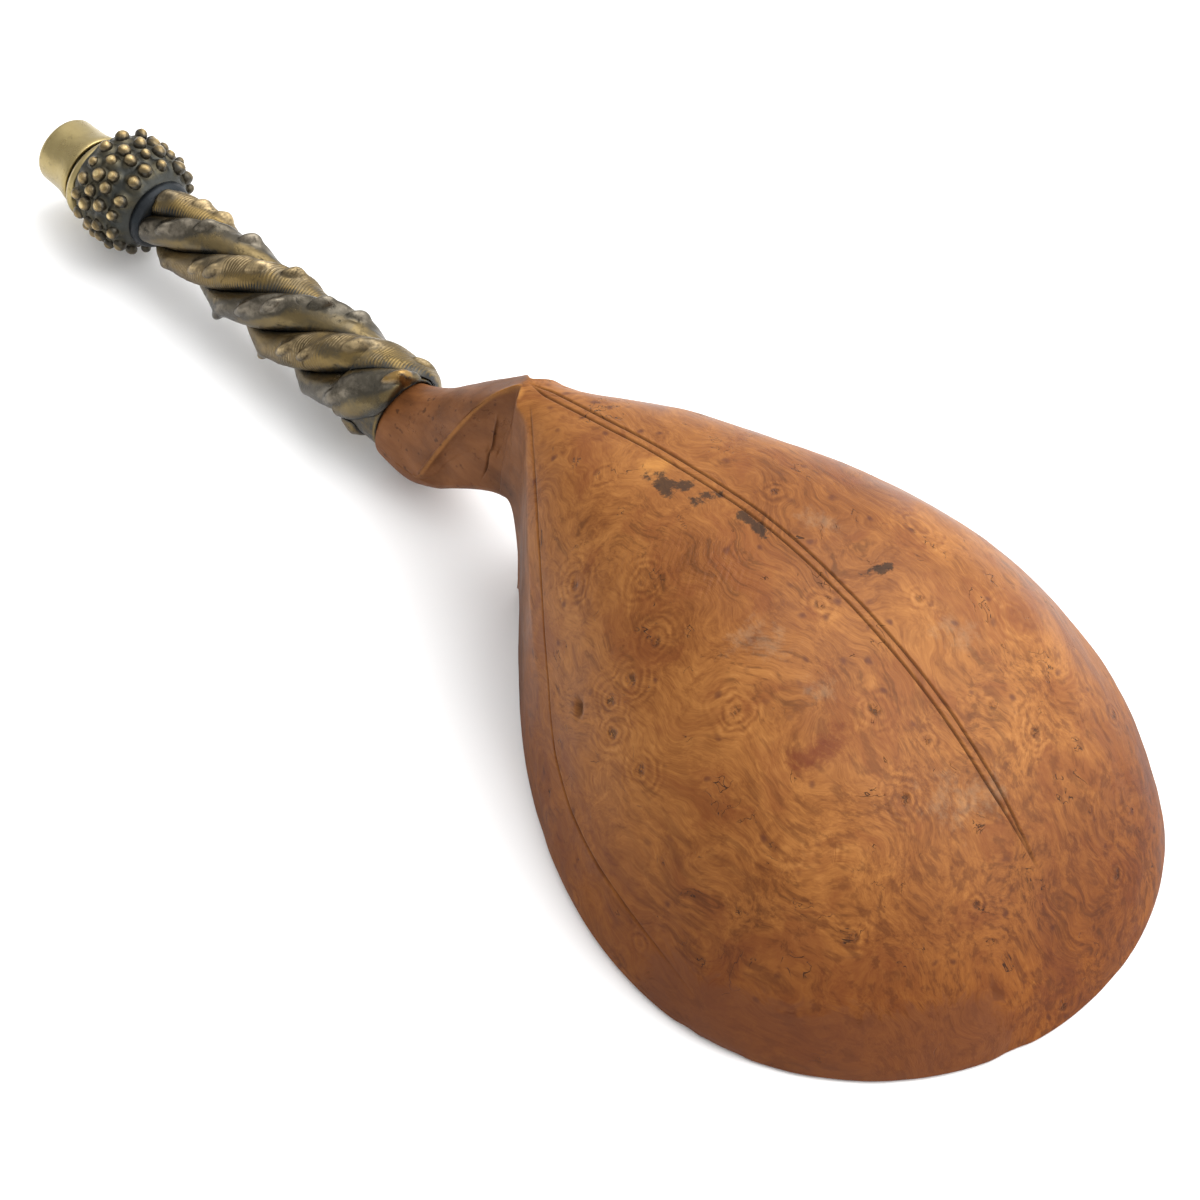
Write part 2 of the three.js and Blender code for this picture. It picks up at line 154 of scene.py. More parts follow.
class Graph:
    """The nodes of a new material or world, built by calls that each return an output socket."""

    def __init__(self, owner):
        owner.use_nodes = True
        self.owner = owner
        self.tree = owner.node_tree

    def feed(self, node, inputs):
        """Links or sets the node's inputs, and leaves those given as None."""
        for key, value in inputs.items():
            if isinstance(value, bpy.types.NodeSocket):
                self.tree.links.new(value, node.inputs[key])
            elif value is not None:
                node.inputs[key].default_value = value

    def node(self, kind, inputs=None, **settings):
        made = self.tree.nodes.new(kind)
        for key, value in settings.items():
            setattr(made, key, value)
        self.feed(made, inputs or {})
        return made

    def math(self, operation, a, b=None):
        return self.node("ShaderNodeMath", {0: a, 1: b}, operation=operation).outputs[0]

    def plus(self, a, b):
        return self.math("ADD", a, b)

    def minus(self, a, b):
        return self.math("SUBTRACT", a, b)

    def times(self, a, b):
        return self.math("MULTIPLY", a, b)

    def most(self, a, b):
        return self.math("MAXIMUM", a, b)

    def total(self, *terms):
        """Sum of some values, each given with its share."""
        first, *others = [self.times(value, share) for value, share in terms]
        for other in others:
            first = self.plus(first, other)
        return first

    def vector(self, operation, a, b=None, scale=None):
        made = self.node("ShaderNodeVectorMath", {0: a, 1: b, "Scale": scale}, operation=operation)
        return made.outputs["Value" if operation == "DOT_PRODUCT" else "Vector"]

    def position(self):
        """Object position in millimetres."""
        return self.vector("SCALE", self.node("ShaderNodeTexCoord").outputs["Object"], scale=1 / MM)

    def stretched(self, vector, factors):
        return self.vector("MULTIPLY", vector, factors)

    def noise(self, vector, size, detail=2.0, roughness=0.5, distortion=0.0, colour=False):
        inputs = {"Vector": vector, "Scale": 1 / size, "Detail": detail, "Roughness": roughness}
        made = self.node("ShaderNodeTexNoise", {**inputs, "Distortion": distortion})
        return made.outputs["Color" if colour else "Fac"]

    def cells(self, vector, size, channel):
        """Distance to the nearest of some scattered centres, and a random number that its cell keeps."""
        made = self.node("ShaderNodeTexVoronoi", {"Vector": vector, "Scale": 1 / size})
        split = self.node("ShaderNodeSeparateColor", {"Color": made.outputs["Color"]})
        return made.outputs["Distance"], split.outputs[channel]

    def attribute(self, name):
        return self.node("ShaderNodeAttribute", attribute_name=name).outputs["Fac"]

    def ramp(self, value, low, high, to_low=0.0, to_high=1.0):
        inputs = {"Value": value, "From Min": low, "From Max": high, "To Min": to_low, "To Max": to_high}
        return self.node("ShaderNodeMapRange", inputs, interpolation_type="SMOOTHSTEP").outputs["Result"]

    def between(self, share, a, b):
        inputs = {"Factor": share, "A": a, "B": b}
        return self.node("ShaderNodeMix", inputs, data_type="FLOAT").outputs["Result"]

    def mix(self, share, a, b, blend="MIX"):
        """Colour a with a share of colour b, each a socket or three numbers."""
        a, b = ((*colour, 1) if isinstance(colour, tuple) else colour for colour in (a, b))
        inputs = {"Factor": share, "A": a, "B": b}
        return self.node("ShaderNodeMix", inputs, data_type="RGBA", blend_type=blend).outputs["Result"]

    def colours(self, value, *stops):
        made = self.node("ShaderNodeValToRGB", {"Fac": value})
        elements = made.color_ramp.elements
        while len(elements) < len(stops):
            elements.new(0.5)
        for element, (place, colour) in zip(elements, stops):
            element.position = place
            element.color = (*colour, 1)
        return made.outputs["Color"]

    def bump(self, height, distance):
        inputs = {"Height": height, "Distance": distance * MM, "Strength": 1.0}
        return self.node("ShaderNodeBump", inputs).outputs["Normal"]

    def finish(self, color, roughness, metallic=0.0, normal=None, specular=0.5):
        self.feed(self.tree.nodes["Principled BSDF"], {
            "Base Color": color,
            "Roughness": roughness,
            "Metallic": metallic,
            "Normal": normal,
            "Specular IOR Level": specular,
        })
        return self.owner


def srgb(red, green, blue):
    """A colour given in 0-255 display values, as linear light."""
    def linear(value):
        value /= 255
        return value / 12.92 if value <= 0.04045 else ((value + 0.055) / 1.055) ** 2.4
    return tuple(linear(v) for v in (red, green, blue))


WOOD_DARK = srgb(86, 46, 20)
WOOD_BROWN = srgb(112, 65, 29)
WOOD_MIDDLE = srgb(130, 80, 38)
WOOD_GOLD = srgb(147, 95, 47)
WOOD_PALE = srgb(169, 116, 64)
WOOD_RED = srgb(110, 58, 27)
WOOD_MOSS = srgb(67, 42, 17)
WOOD_KNOT = srgb(78, 41, 28)
WOOD_PIT = srgb(41, 23, 12)
WOOD_LIP = srgb(91, 50, 27)
WOOD_SAP = srgb(172, 117, 57)
WOOD_RED_KNOT = srgb(92, 38, 17)
STAIN_BLACK = srgb(38, 34, 30)
SCUFF_PALE = srgb(176, 160, 134)
# Multiplied into the wood towards the bottom of the bowl as painted shade.
LOW_PAINTED_SHADE = (0.56, 0.42, 0.22)
NECK_DARK = srgb(82, 48, 24)
NECK_MIDDLE = srgb(108, 66, 35)
NECK_PALE = srgb(128, 82, 47)

EYE_CELL = 5.6
PIN_CELL = 2.6
RING_DENSITY = 7.4
WOOD_SPECULAR = 0.13
SCRAPER_ACROSS = (0.86, 0.50, 0.0)
TOWARDS_TIP = (1.0, -0.25, 0.0)


def bird_eyes(g, place, nudged):
    """Rings round scattered centres, and larger ones round the bowl's own list.

    Gives the distance to the nearest centre, how far a place belongs to an eye, and the rings themselves.
    """
    eye = g.attribute("eye")
    distance, draw = g.cells(nudged, EYE_CELL, "Red")
    small_away = g.times(distance, EYE_CELL)
    small_zone = g.times(g.ramp(small_away, 2.5, 1.2), g.ramp(draw, 0.50, 0.56))
    wobble = g.times(g.minus(g.noise(place, 1.7, 2.0), 0.5), 1.5)
    big_away = g.plus(eye, wobble)
    away = g.between(g.ramp(eye, 5.2, 4.4), small_away, big_away)
    zone = g.most(g.times(small_zone, g.ramp(eye, 4.4, 5.2)), g.ramp(big_away, 4.6, 1.6))
    ring_noise = g.times(g.noise(place, 1.6, 3.0, 0.6), 2.6)
    rings = g.math("SINE", g.plus(g.times(away, RING_DENSITY), ring_noise))
    rings = g.times(rings, g.times(zone, g.ramp(g.noise(place, 1.5, 2.0), 0.3, 0.6)))
    return away, zone, rings


def neck_grain(g, place):
    """Straight-grained wood of the neck, the side walls and the inside, with short dark dashes."""
    grain = g.noise(g.stretched(place, (0.16, 1.0, 0.5)), 1.3, 4.0, 0.6, 0.3)
    straight = g.colours(
        g.total((grain, 0.5), (g.noise(place, 9.0, 3.0), 0.5)),
        (0.34, NECK_DARK),
        (0.50, NECK_MIDDLE),
        (0.66, NECK_PALE),
    )
    dashes = g.noise(g.stretched(place, (0.7, 1.5, 1.0)), 1.2, 2.0, 0.5)
    return g.mix(g.times(g.ramp(dashes, 0.63, 0.73), 0.6), straight, WOOD_PIT)


def burr_wood():
    g = Graph(bpy.data.materials.new("burr_wood_look"))
    place = g.position()

    def drift(size, amount):
        offset = g.vector("SUBTRACT", g.noise(place, size, colour=True), (0.5, 0.5, 0.5))
        return g.vector("SCALE", offset, scale=amount)

    warped = g.vector("ADD", g.vector("ADD", place, drift(15.0, 17.0)), drift(4.2, 2.6))
    nudged = g.vector("ADD", place, drift(2.4, 1.5))
    calm = g.vector("ADD", place, drift(15.0, 8.0))

    # Fibres that run along the bowl and bend round its knots.
    fibres = g.noise(g.stretched(warped, (0.17, 1.35, 1.0)), 1.0, 5.0, 0.62, 0.25)
    hairs = g.noise(g.stretched(warped, (0.5, 5.0, 4.0)), 1.0, 3.0, 0.6)
    mottle = g.noise(warped, 8.0, 4.0, 0.6, 0.3)
    patch = g.noise(place, 26.0, 2.0, 0.5)
    away, zone, rings = bird_eyes(g, place, nudged)

    figured = g.colours(
        g.total((mottle, 0.38), (patch, 0.28), (fibres, 0.34), (rings, 0.062), (g.minus(hairs, 0.5), 0.20)),
        (0.30, WOOD_DARK),
        (0.42, WOOD_BROWN),
        (0.50, WOOD_MIDDLE),
        (0.59, WOOD_GOLD),
        (0.72, WOOD_PALE),
    )
    # Reddish clouds, and mossy dark strokes along the fibres.
    cloud = g.ramp(g.noise(warped, 6.5, 4.0, 0.6), 0.50, 0.66)
    figured = g.mix(g.times(cloud, 0.50), figured, WOOD_RED)
    moss = g.times(g.ramp(fibres, 0.47, 0.36), g.ramp(g.noise(place, 9.0, 2.0), 0.50, 0.62))
    figured = g.mix(g.times(moss, 0.34), figured, WOOD_MOSS)
    # Darker streaks that gather towards the tip.
    near_tip = g.ramp(g.vector("DOT_PRODUCT", place, TOWARDS_TIP), 44.0, 62.0)
    long_fibres = g.noise(g.stretched(calm, (0.11, 0.95, 0.8)), 1.0, 5.0, 0.60, 0.2)
    streak = g.times(g.ramp(long_fibres, 0.52, 0.36), near_tip)
    figured = g.mix(g.times(streak, 0.55), figured, WOOD_DARK)
    # Small soft pin knots in clusters.
    pin_distance, pin_draw = g.cells(nudged, PIN_CELL, "Green")
    pin_zone = g.times(g.ramp(pin_draw, 0.36, 0.46), g.ramp(g.noise(place, 12.0, 1.0), 0.40, 0.54))
    pin = g.times(g.ramp(pin_distance, 0.23, 0.05), pin_zone)
    figured = g.mix(g.times(pin, 0.75), figured, WOOD_KNOT)
    # Dark hearts of the eyes, and hair cracks.
    heart = g.times(g.ramp(away, 0.85, 0.2), g.math("GREATER_THAN", zone, 0.3))
    heart = g.times(heart, g.ramp(g.noise(place, 0.6, 3.0, 0.7), 0.46, 0.56))
    split = g.math("ABSOLUTE", g.minus(g.noise(warped, 3.2, 3.0, 0.6), 0.5))
    crack = g.times(g.ramp(split, 0.007, 0.002), g.ramp(g.noise(place, 3.4, 2.0), 0.61, 0.66))
    dark = g.most(g.times(heart, 0.8), crack)
    figured = g.mix(g.times(dark, 0.85), figured, WOOD_PIT)

    colour = g.mix(g.attribute("plain"), figured, neck_grain(g, place))
    # Painted shade: the wood is darkened towards the bottom of the bowl, where the 'low' attribute is high.
    low = g.attribute("low")
    colour = g.mix(g.times(low, 0.95), colour, LOW_PAINTED_SHADE, blend="MULTIPLY")
    lip = g.plus(g.attribute("lip"), g.times(g.minus(fibres, 0.5), 2.0))
    colour = g.mix(g.times(g.ramp(lip, 0.30, 0.75), 0.62), colour, WOOD_LIP)
    pale = g.times(g.attribute("pale"), g.ramp(hairs, 0.25, 0.75, 0.6, 1.0))
    colour = g.mix(pale, colour, WOOD_SAP)

    # Listed marks, broken up at their edges and faded out beyond them.
    crumble = g.noise(place, 1.9, 8.0, 0.78)

    def broken(mark, low, high):
        area = g.attribute(mark)
        return g.times(g.ramp(g.plus(area, g.times(crumble, 3.6)), low, high), g.ramp(area, 0.0, 0.25))

    colour = g.mix(g.times(broken("red", 1.9, 3.0), 0.72), colour, WOOD_RED_KNOT)
    stain = broken("stain", 2.40, 2.80)
    colour = g.mix(g.times(stain, 0.80), colour, STAIN_BLACK)
    scuff = broken("scuff", 2.3, 3.3)
    colour = g.mix(g.times(scuff, 0.15), colour, SCUFF_PALE)
    cut = g.attribute("cut")
    colour = g.mix(g.times(cut, 0.72), colour, WOOD_PIT)

    # Scraper marks: fine parallel lines left in one patch.
    scraped_noise = g.noise(g.stretched(place, (1.9, 1.1, 0.3)), 1.0, 3.0, 0.7)
    scraped = g.times(g.attribute("scraped"), g.ramp(scraped_noise, 0.45, 0.6))
    lines = g.math("SINE", g.times(g.vector("DOT_PRODUCT", place, SCRAPER_ACROSS), 9.0))
    colour = g.mix(g.times(scraped, g.ramp(lines, -0.2, 0.9, 0.0, 0.35)), colour, WOOD_BROWN)

    relief = g.total((hairs, 0.30), (rings, 0.10), (g.times(lines, scraped), 0.4), (dark, -1.2))
    worn = g.times(g.most(cut, g.most(stain, scuff)), 0.3)
    dull = g.most(g.times(low, 0.22), g.times(g.attribute("plain"), 0.16))
    roughness = g.plus(g.plus(g.ramp(mottle, 0.3, 0.75, 0.34, 0.46), worn), dull)
    return g.finish(color=colour, roughness=roughness, normal=g.bump(relief, 0.06), specular=WOOD_SPECULAR)


METAL_DULLED = srgb(74, 70, 62)
METAL_GILDED = srgb(140, 112, 68)
METAL_STEPS = (0.06, 0.40, 0.64, 0.92, 1.18)
DRUM_STEPS = (-0.6, 0.0, 0.5, 0.95, 1.3)
# Each look: colours of the deep places, flanks, crests and tips; roughness; size of its patches; the
# heights between which one colour turns into the next; and the share of dull patches.
METALS = {
    "gilt": ((34, 35, 34), (114, 96, 61), (97, 84, 62), (166, 146, 110), 0.35, 4.0, METAL_STEPS, 0.55),
    "silver": ((34, 35, 34), (106, 92, 64), (73, 68, 59), (122, 114, 101), 0.31, 4.0, METAL_STEPS, 0.55),
    # The grain look's bright tip colour is a painted highlight on top of each granule.
    "grain": ((58, 54, 45), (102, 90, 68), (134, 114, 78), (206, 184, 134), 0.33, 4.0, METAL_STEPS, 0.0),
    "drum": ((74, 66, 46), (148, 132, 90), (166, 150, 106), (190, 174, 132), 0.30, 9.0, DRUM_STEPS, 0.0),
    "shell": ((46, 47, 43), (82, 77, 63), (114, 101, 76), (140, 122, 88), 0.42, 2.4, METAL_STEPS, 0.0),
    "dark": ((26, 30, 34), (48, 53, 56), (80, 76, 66), (120, 108, 84), 0.45, 2.4, METAL_STEPS, 0.0),
}


def worn_metal(name):
    """Old silver-gilt: dark deep places, gilded flanks, rubbed crests and bright tips."""
    *colours, roughness, patch_size, steps, dulling = METALS[name]
    deep, flank, crest, tip = (srgb(*colour) for colour in colours)
    g = Graph(bpy.data.materials.new(f"{name}_look"))
    place = g.position()
    cloud = g.noise(place, patch_size, 5.0, 0.65, 0.4)
    speck = g.noise(place, 0.9, 5.0, 0.70, 0.3)
    height = g.plus(g.attribute("height"), g.times(g.minus(cloud, 0.5), 0.75))
    height = g.plus(height, g.times(g.minus(speck, 0.5), 0.35))
    colour = g.mix(g.ramp(height, steps[0], steps[1]), deep, flank)
    colour = g.mix(g.ramp(height, steps[2], steps[3]), colour, crest)
    colour = g.mix(g.ramp(height, steps[3], steps[4]), colour, tip)
    dulled = g.times(g.ramp(g.noise(place, 5.0, 4.0, 0.6, 0.4), 0.50, 0.64), dulling)
    colour = g.mix(dulled, colour, METAL_DULLED)
    gilded = g.times(g.ramp(g.attribute("gilded"), 0.30, 0.62), g.ramp(speck, 0.36, 0.50))
    colour = g.mix(gilded, colour, METAL_GILDED)
    dirt = g.ramp(g.noise(place, 1.3, 6.0, 0.75, 0.5), 0.55, 0.72)
    colour = g.mix(g.times(dirt, 0.65), colour, deep)
    metal = g.ramp(height, 0.0, 0.35, 0.55, 1.0)
    rough = g.plus(g.ramp(cloud, 0.3, 0.7, roughness - 0.06, roughness + 0.08), g.times(dirt, 0.2))
    relief = g.minus(g.noise(place, 0.4, 4.0, 0.65), dirt)
    return g.finish(color=colour, roughness=rough, metallic=metal, normal=g.bump(relief, 0.03))


def resin():
    """Dull brown cement, never seen from outside."""
    g = Graph(bpy.data.materials.new("resin_look"))
    cloud = g.noise(g.position(), 1.6, 4.0, 0.6)
    colour = g.colours(cloud, (0.35, srgb(52, 34, 22)), (0.65, srgb(96, 68, 44)))
    rough = g.ramp(cloud, 0.3, 0.7, 0.6, 0.75)
    return g.finish(color=colour, roughness=rough, normal=g.bump(cloud, 0.05), specular=0.3)


# ---- shape helpers


CURVE_STEPS = 240


def bezier(*corners):
    """Cubic curves, each starting at the end of the last, as a table of [x, value] rows."""
    s = np.linspace(0, 1, CURVE_STEPS + 1)[:, None]
    rows = []
    for first in range(0, len(corners) - 1, 3):
        a, b, c, d = (np.array(p, float) for p in corners[first:first + 4])
        rows.append(a * (1 - s) ** 3 + 3 * b * s * (1 - s) ** 2 + 3 * c * s * s * (1 - s) + d * s ** 3)
    table = np.concatenate(rows)
    return table[np.argsort(table[:, 0], kind="stable")]


def smoothstep(low, high, value):
    t = np.clip((np.asarray(value, float) - low) / (high - low), 0, 1)
    return t * t * (3 - 2 * t)


def bell(value, spread):
    return np.exp(-(np.asarray(value, float) / spread) ** 2)


def lattice(points, size, seed):
    """Smooth noise from -1 to 1 at each point, with features of the given size in millimetres."""
    values = np.random.default_rng(seed).uniform(-1, 1, 4096)
    scaled = np.asarray(points, float) / size + 91.7
    cell = np.floor(scaled).astype(np.int64)
    part = scaled - cell
    part = part ** 3 * (part * (part * 6 - 15) + 10)
    total = np.zeros(scaled.shape[:-1])
    for corner in np.ndindex(2, 2, 2):
        index = cell + corner
        key = (index[..., 0] * 73856093 ^ index[..., 1] * 19349663 ^ index[..., 2] * 83492791) % 4096
        share = np.prod(np.where(np.array(corner) == 1, part, 1 - part), axis=-1)
        total += values[key] * share
    return total


def grid_faces(rows, columns, first=0, wrap=False):
    """Quads between neighbouring points of a grid stored row by row."""
    across = columns if wrap else columns - 1
    r, c = np.meshgrid(np.arange(rows - 1), np.arange(across), indexing="ij")
    n = (c + 1) % columns
    here, below = r * columns, (r + 1) * columns
    return np.stack([here + c, here + n, below + n, below + c], axis=-1).reshape(-1, 4) + first


def grid_normals(points):
    """Unit normals of a grid of points, by its differences along rows and columns."""
    normals = np.cross(np.gradient(points, axis=0), np.gradient(points, axis=1))
    length = np.linalg.norm(normals, axis=-1, keepdims=True)
    return normals / np.maximum(length, 1e-9)


def whole_row(x, places, y, z, arc):
    """Points across the whole section at x, from distances along its half."""
    half = np.stack([np.full(len(places), x), np.interp(places, arc, y), np.interp(places, arc, z)], axis=-1)
    return np.concatenate([half[::-1] * (1, -1, 1), half[1:]])


def both_sides(values):
    return np.concatenate([values[::-1], values[1:]])


def add_piece(name, points, faces, material, replaces, attributes, merge):
    """A mesh object from points in drawing millimetres, riding on the spoon."""
    mesh = bpy.data.meshes.new(name)
    flat = to_frame(np.reshape(points, (-1, 3)))
    mesh.from_pydata(flat.tolist(), [], [tuple(face) for face in np.asarray(faces).tolist()])
    for key, values in attributes.items():
        layer = mesh.attributes.new(key, "FLOAT", "POINT")
        layer.data.foreach_set("value", np.ascontiguousarray(np.reshape(values, -1), np.float32))
    mesh.update()
    work = bmesh.new()
    work.from_mesh(mesh)
    bmesh.ops.remove_doubles(work, verts=work.verts, dist=merge * MM)
    bmesh.ops.dissolve_degenerate(work, edges=work.edges, dist=merge * MM)
    bmesh.ops.recalc_face_normals(work, faces=work.faces)
    work.to_mesh(mesh)
    work.free()
    mesh.shade_smooth()
    mesh.materials.append(material)
    piece = add_object(name, mesh)
    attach(piece, "root")
    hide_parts(*replaces)


# ---- the wood

BOWL_LENGTH = 84.0
HALF_WIDTH = 32.6
WIDEST_X = 54.0
WALL_X = 4.6
PEAK_HEIGHT = 26.8
CORNER = (-11.7, 5.1, 5.7)
HOLLOW_SCALE = 0.93
HOLLOW_HEIGHT = 0.91
HOLLOW_CENTRE_X = 44.0
RIM_ROUND = 0.45

SIDE_LINE = bezier(
    (-19, 4.8), (-15, 5.3), (-12, 5.1),
    (-6, 4.4), (-2, 3.6), (1.5, 2.4),
    (4.5, 4.7), (8.5, 7.3), (28.5, 32.6), (54, 32.6),
)
KEEL = bezier(
    (-19, 11.4), (-14.5, 13.4), (-8, 20.4),
    (0, 26.8), (9, 28.2), (21, 32.7),
    (33, 32.7), (58, 32.7), (75, 16), (84, 0),
)
LOWER_EDGE = bezier(
    (-19, 5.9), (-16, 5.8), (-12, 5.2),
    (-9, 6.8), (-5.5, 9.6), (-1, 12.3),
    (1.2, 12), (3.4, 11.4), (3.6, 4), (WALL_X, 0),
)
BORDER_LINE = bezier(
    (2, 1.4), (8, 6), (20, 17),
    (30, 23.8), (38, 29), (48, 31.6), (60, 31.3),
)


def half_width(x):
    x = np.asarray(x, float)
    tip = HALF_WIDTH * np.sqrt(np.clip(1 - ((x - WIDEST_X) / (BOWL_LENGTH - WIDEST_X)) ** 2, 0, None))
    return np.where(x <= WIDEST_X, np.interp(x, SIDE_LINE[:, 0], SIDE_LINE[:, 1]), tip)


def keel_height(x):
    return np.interp(x, KEEL[:, 0], KEEL[:, 1])


def back_height(x, y):
    shoulder = 1 - min(x / 30, 1)
    crown = 0.25 + 0.75 * (1 - shoulder * shoulder)
    across = np.abs(y) / max(float(half_width(x)), 1e-6) * crown
    sideways = 2.2 + 0.6 * smoothstep(0, 15, x)
    upward = 1.8 - 0.5 * x / BOWL_LENGTH
    return keel_height(x) * np.clip(1 - across ** sideways, 0, None) ** (1 / upward)


CROWN_SAMPLES = 260
SIDE_SAMPLES = 90


def section(x):
    """Half of the outer section at x, from the keel to the edge: y, z and the distance along it."""
    edge_y = float(half_width(x))
    edge_z = float(np.interp(x, LOWER_EDGE[:, 0], LOWER_EDGE[:, 1])) if x < WALL_X else 0.0
    t = np.linspace(0, 1, CROWN_SAMPLES)
    s = np.linspace(0, 1, SIDE_SAMPLES)[1:]
    if x <= 0:
        rise = min(x / CORNER[0], 1)
        blend = float(smoothstep(11.7, 15, -x))
        ridge_y = (0.3 + 4.9 * rise ** 0.58) * (1 - blend) + edge_y * blend
        ridge_z = (PEAK_HEIGHT - (PEAK_HEIGHT - CORNER[2]) * rise ** 1.35) * (1 - blend) + 5.95 * blend
        top = keel_height(x) - ridge_z
        crown_y = ridge_y * np.sin(t * np.pi / 2)
        crown_z = ridge_z + top * np.cos(t * np.pi / 2)
        hollow = 0.95 * float(smoothstep(-12.2, -8.5, x)) * float(smoothstep(1.5, -1.5, x))
        side_y = ridge_y + (edge_y - ridge_y) * s - hollow * np.sin(np.pi * s) ** 0.8
        side_z = ridge_z + (edge_z - ridge_z) * s
    else:
        inset = edge_y * 0.06 if x > 8 else 0.45
        crease = min(max(min(edge_y - inset, 0.3 + 1.75 * x), 0.3), edge_y)
        reach = np.sin(t * np.pi / 2)
        crown_y = crease * reach
        crown_z = back_height(x, crown_y)
        side_y = crease + (edge_y - crease) * np.sin(s * np.pi / 2)
        side_z = crown_z[-1] + (edge_z - crown_z[-1]) * s
    y, z = np.concatenate([crown_y, side_y]), np.concatenate([crown_z, side_z])
    return y, z, np.concatenate([[0], np.cumsum(np.hypot(np.diff(y), np.diff(z)))])


KEEL_STEPS = np.array([0, 0.2, 0.33, 0.44, 0.55, 0.66, 0.77, 0.9, 1.1])
LINE_STEPS = np.array([-0.7, -0.45, -0.28, -0.14, 0, 0.14, 0.28, 0.45, 0.7])
CREASE_STEPS = np.array([-0.6, -0.3, -0.14, -0.05, 0.05, 0.16, 0.35, 0.7])


def placed_columns(x, y, arc):
    """Distances along a half section, from the keel, at which the visible mesh has its points."""
    whole = arc[-1]
    crown = arc[CROWN_SAMPLES - 1]
    if x > 2.5:
        border_y = np.interp(x, BORDER_LINE[:, 0], BORDER_LINE[:, 1])
        border = np.interp(min(border_y, y[-1] * 0.975), y, arc)
    else:
        border = crown * 0.7
    border += (whole * 0.8 - border) * float(smoothstep(58, 70, x))
    crease = crown + (whole * 0.97 - 0.6 - crown) * float(smoothstep(16, 27, x))
    crease = max(crease, border + 0.05 * whole) if x > 40 else crease
    keel = KEEL_STEPS * min(1, border / 3)
    line = border + LINE_STEPS * min(1, whole / 12)
    fold = crease + CREASE_STEPS * min(1, whole / 12)
    columns = np.concatenate([
        keel,
        np.linspace(keel[-1], line[0], 74)[1:-1],
        line,
        np.linspace(line[-1], fold[0], 14)[1:-1],
        fold,
        np.linspace(fold[-1], whole, 26)[1:],
    ])
    columns = np.sort(np.clip(columns, 0, whole))
    return columns, border, crease


def wood_stations():
    neck = np.concatenate([np.arange(-19, -3.7, 0.28), np.arange(-3.7, 0, 0.1), [0]])
    flare = np.linspace(0, WALL_X, 40)[1:]
    belly = np.linspace(WALL_X, WIDEST_X, 135)[1:]
    turn = np.linspace(0, np.pi / 2, 120)[1:]
    tip = WIDEST_X + (BOWL_LENGTH - WIDEST_X) * np.sin(turn)
    return np.concatenate([neck, flare, belly, tip[tip < LAST_SECTION_X - 0.02], [LAST_SECTION_X]])


# Marks on the back of the bowl: the two ends of each in drawing millimetres, and its radius.
MARKS = {
    "stain": [
        ((22.1, -2.9, 31.7), (24.9, -4.2, 31.8), 1.5),
        ((24.6, -3.4, 32), (25.8, -1.4, 32.2), 1.5),
        ((28, -2.8, 32.3), (28.8, -0.9, 32.6), 1.3),
        ((32.6, -1, 32.7), (36, -1.5, 32.6), 1),
        ((45.6, 3.2, 31.6), (46.2, 6, 30.9), 0.9),
    ],
    "scuff": [
        ((43, -11.4, 30.2), (45, -9.4, 30.8), 2.6),
        ((54.6, 6.3, 28), (56.2, 7.9, 27), 2.4),
        ((51, -10, 28.6), (52, -8.8, 28.9), 1.8),
        ((37, 3.6, 32), (39, 4.6, 31.8), 2.2),
        ((66, -5, 22), (68, -2, 21), 4.5),
    ],
    "red": [((55, -15.2, 25.4), (56.4, -11.2, 27), 1.7)],
    "scraped": [((29, -10.5, 30.5), (35, -8, 31.5), 4.5)],
    "pale": [((20.6, -2.2, 31.4), (21.4, -1.4, 31.6), 1.1), ((0.4, -2.2, 26.2), (0.7, -1.7, 26.5), 0.7)],
}
BLACK_PITS = [((31.2, -22, 18.4), (31.6, -22.3, 18), 0.55)]
# Centres of the large bird's eyes.
EYES = [
    (23.1, -14.9, 24.8), (35.7, -16.4, 28.1), (35.9, -19.7, 24.7), (37.1, -23.2, 20.1), (47.0, -16.6, 27.5),
    (56.1, -6.3, 27.2), (63.4, -9.3, 22.5), (34.9, -21.4, 22.0), (42.1, -24.3, 20.1), (30.5, -12.5, 29.2),
    (56.0, 14.0, 24.5), (44.0, 13.0, 28.5), (66.0, 8.0, 21.0), (58.0, -20.0, 19.0),
]
# Each chip: its two ends, radius and depth.
RIM_CHIPS = [
    ((82.1, -10.5, 0), (82.3, -9.6, 0), 1.3, 0.20),
    ((60.5, -31.3, 0), (63.5, -30.2, 0), 1.0, 0.22),
    ((66, -28.6, 0), (67, -28.0, 0), 0.8, 0.24),
    ((58.0, -31.9, 0), (58.5, -31.8, 0), 0.9, 0.2),
    ((70.5, -25.4, 0), (71, -25.0, 0), 0.7, 0.2),
]


def distance_to(points, start, end):
    start, end = np.array(start, float), np.array(end, float)
    axis = end - start
    share = np.clip(np.sum((points - start) * axis, axis=-1) / np.dot(axis, axis), 0, 1)
    return np.linalg.norm(points - start - share[..., None] * axis, axis=-1)


def marks(points, spots):
    total = np.zeros(points.shape[:-1])
    ragged = lattice(points, 1.3, 17)
    for start, end, radius in spots:
        away = distance_to(points, start, end) * (1 + 0.3 * ragged)
        total = np.maximum(total, np.clip(1.3 - away / radius, 0, 1))
    return total


def relaxed(points, share, rounds):
    """The grid with each point moved towards the middle of its neighbours, as far as its share says."""
    points = points.copy()
    for _ in range(rounds):
        middle = points[1:-1, 1:-1]
        around = (points[2:, 1:-1] + points[:-2, 1:-1] + points[1:-1, 2:] + points[1:-1, :-2]) / 4
        middle += (around - middle) * share[1:-1, 1:-1, None]
    return points


PEAK_SOFTNESS = 2.7
RELAX_ROUNDS = 34
INSIDE_POINT = (30, 0, 5)
# The wood's unevenness: depth, size of its waves and seed.
UNEVENNESS = ((0.16, 11.0, 11), (0.07, 4.5, 12), (0.02, 1.6, 13))
INNER_COLUMNS = 61
EYE_LIMIT = 12
